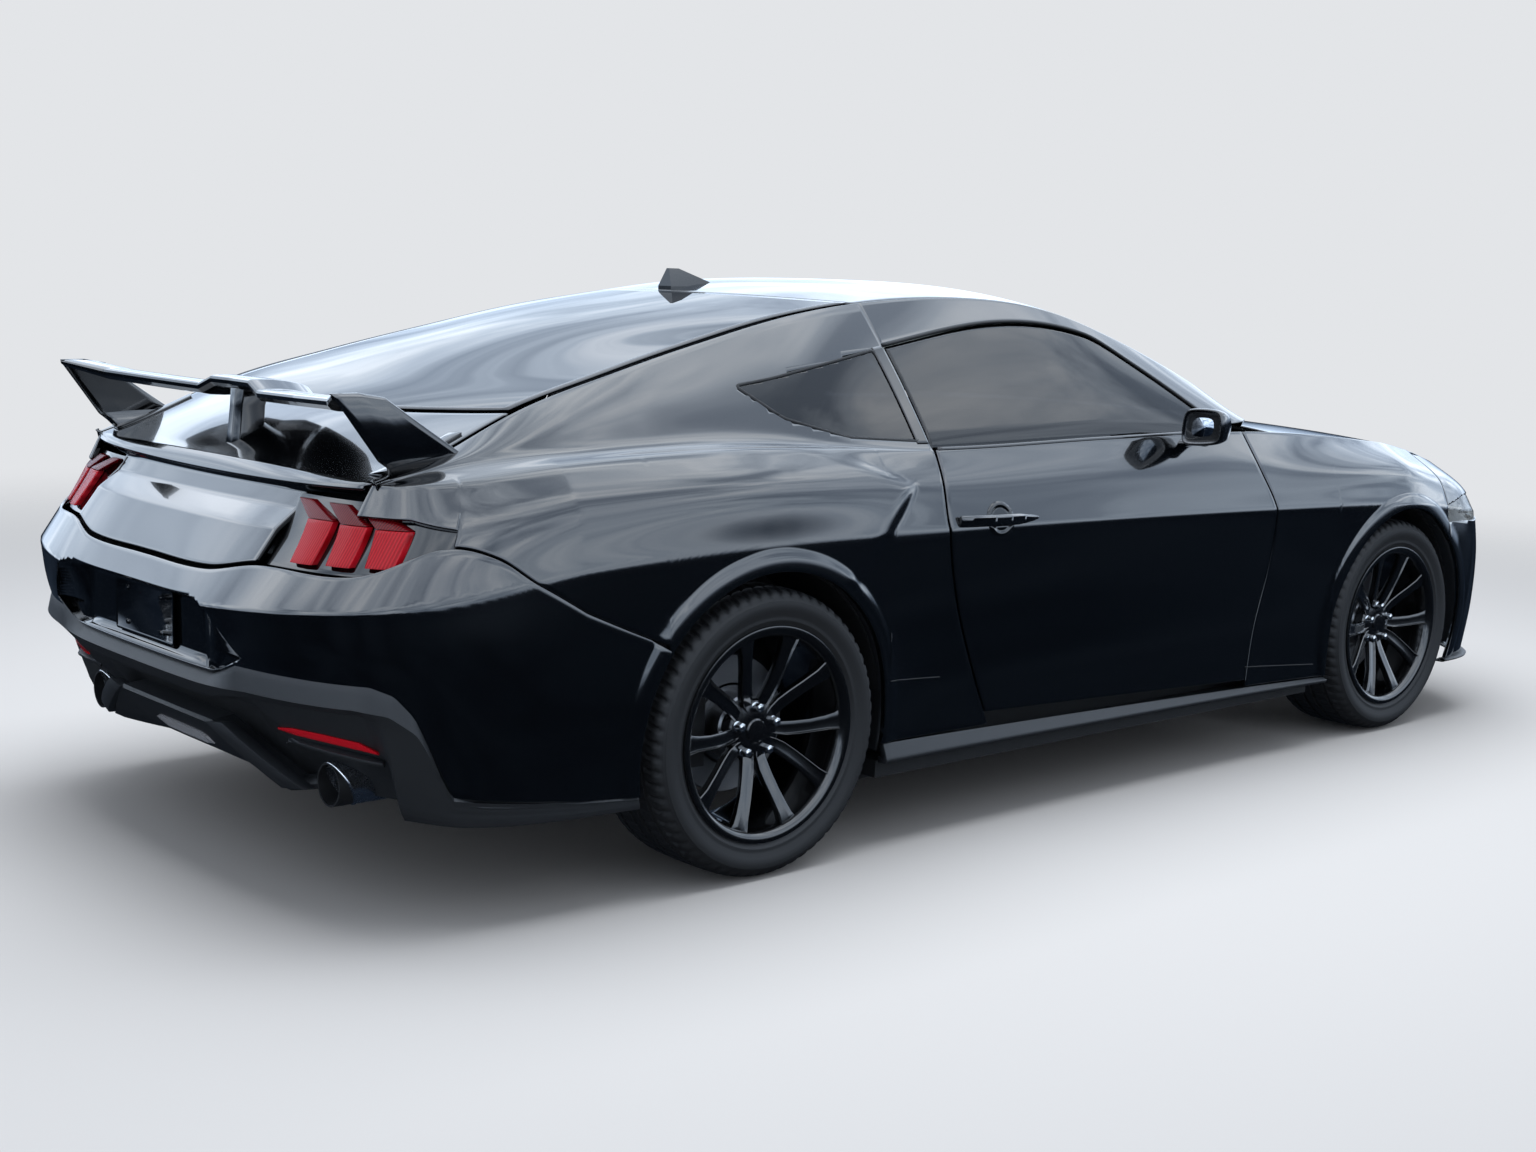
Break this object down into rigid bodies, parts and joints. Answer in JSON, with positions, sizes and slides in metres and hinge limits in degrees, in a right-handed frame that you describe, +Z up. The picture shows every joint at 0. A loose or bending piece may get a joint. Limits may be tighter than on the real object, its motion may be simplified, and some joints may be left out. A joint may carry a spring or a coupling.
{
  "type": "muscle car",
  "caption": "Black two-door fastback muscle car with a raised rear wing, bent-bar tail lamps, twin exhaust tips and dark five-pair-spoke wheels.",
  "frame": {"origin": "middle of the bounding box, on the road", "axes": "+X towards the nose, +Y to the car's left, +Z up"},
  "size_m": [4.764, 2.061, 1.4112],
  "materials": {
    "black_paint": "gloss",
    "chassis_coating": "satin",
    "textured_plastic": "textured",
    "gloss_black_plastic": "gloss",
    "tinted_glass": "polished",
    "clear_glass": "polished",
    "red_lens": "gloss",
    "clear_lens": "gloss",
    "polished_steel": "polished",
    "seat_leather": "satin",
    "cabin_plastic": "matte",
    "cabin_leather": "satin",
    "cast_aluminium": "cast",
    "chassis_steel": "satin",
    "tyre_rubber": "matte",
    "gloss_black_alloy": "gloss"
  },
  "bodies": {
    "chassis": {"floor_tub": "chassis_coating", "fenders": "black_paint", "quarter_panels": "black_paint", "roof_rails": "black_paint", "roof": "black_paint", "front_bumper": "black_paint", "rear_bumper": "black_paint", "rear_valance": "textured_plastic", "side_skirts": "textured_plastic", "windscreen": "clear_glass", "rear_window": "tinted_glass", "quarter_windows": "tinted_glass", "tail_lamps": "red_lens", "headlamps": "clear_lens", "grille": "gloss_black_plastic", "exhaust": "polished_steel", "roof_antenna": "gloss_black_plastic", "seats": "seat_leather", "dashboard": "cabin_plastic", "engine_block": "cast_aluminium", "front_suspension": "chassis_steel", "rear_suspension": "chassis_steel"},
    "hood": {"hood": "black_paint"},
    "deck": {"deck_lid": "black_paint", "rear_wing": "gloss_black_plastic"},
    "door_left": {"door_left": "black_paint", "door_glass_left": "tinted_glass", "mirror_left": "gloss_black_plastic"},
    "door_right": {"door_right": "black_paint", "door_glass_right": "tinted_glass", "mirror_right": "gloss_black_plastic"},
    "knuckle_left": {"knuckle_left": "cast_aluminium"},
    "knuckle_right": {"knuckle_right": "cast_aluminium"},
    "wheel_fl": {"wheel_front_left": "gloss_black_alloy", "tyre_front_left": "tyre_rubber"},
    "wheel_fr": {"wheel_front_right": "gloss_black_alloy", "tyre_front_right": "tyre_rubber"},
    "wheel_rl": {"wheel_rear_left": "gloss_black_alloy", "tyre_rear_left": "tyre_rubber"},
    "wheel_rr": {"wheel_rear_right": "gloss_black_alloy", "tyre_rear_right": "tyre_rubber"},
    "steering_wheel": {"steering_wheel": "cabin_leather"}
  },
  "joints": [
    {"name": "door_left", "type": "hinge", "parent": "chassis", "child": "door_left", "pos_m": [0.669, 0.898, 0.675], "axis": [0, 0, -1], "range_deg": [0, 65]},
    {"name": "door_right", "type": "hinge", "parent": "chassis", "child": "door_right", "pos_m": [0.669, -0.898, 0.675], "axis": [0, 0, 1], "range_deg": [0, 65]},
    {"name": "hood", "type": "hinge", "parent": "chassis", "child": "hood", "pos_m": [0.867, 0, 0.955], "axis": [0, -1, 0], "range_deg": [0, 48]},
    {"name": "deck_lid", "type": "hinge", "parent": "chassis", "child": "deck", "pos_m": [-1.8, 0, 1.068], "axis": [0, 1, 0], "range_deg": [0, 62]},
    {"name": "steer_left", "type": "hinge", "parent": "chassis", "child": "knuckle_left", "pos_m": [1.484, 0.7, 0.2], "axis": [0, -0.1925, 0.9813], "range_deg": [-33, 33]},
    {"name": "steer_right", "type": "hinge", "parent": "chassis", "child": "knuckle_right", "pos_m": [1.484, -0.7, 0.2], "axis": [0, 0.1925, 0.9813], "range_deg": [-33, 33]},
    {"name": "steering_wheel", "type": "hinge", "parent": "chassis", "child": "steering_wheel", "pos_m": [0.4, 0.37, 0.79], "axis": [-0.9135, 0, 0.4067], "range_deg": [-480, 480]},
    {"name": "spin_fl", "type": "hinge", "parent": "knuckle_left", "child": "wheel_fl", "pos_m": [1.484, 0.791, 0.3435], "axis": [0, 1, 0], "continuous": true},
    {"name": "spin_fr", "type": "hinge", "parent": "knuckle_right", "child": "wheel_fr", "pos_m": [1.484, -0.791, 0.3435], "axis": [0, 1, 0], "continuous": true},
    {"name": "spin_rl", "type": "hinge", "parent": "chassis", "child": "wheel_rl", "pos_m": [-1.234, 0.824, 0.3435], "axis": [0, 1, 0], "continuous": true},
    {"name": "spin_rr", "type": "hinge", "parent": "chassis", "child": "wheel_rr", "pos_m": [-1.234, -0.824, 0.3435], "axis": [0, 1, 0], "continuous": true}
  ],
  "couplings": [
    {"joint": "steer_right", "follows": "steer_left", "ratio": 1},
    {"joint": "steering_wheel", "follows": "steer_left", "ratio": 14}
  ]
}
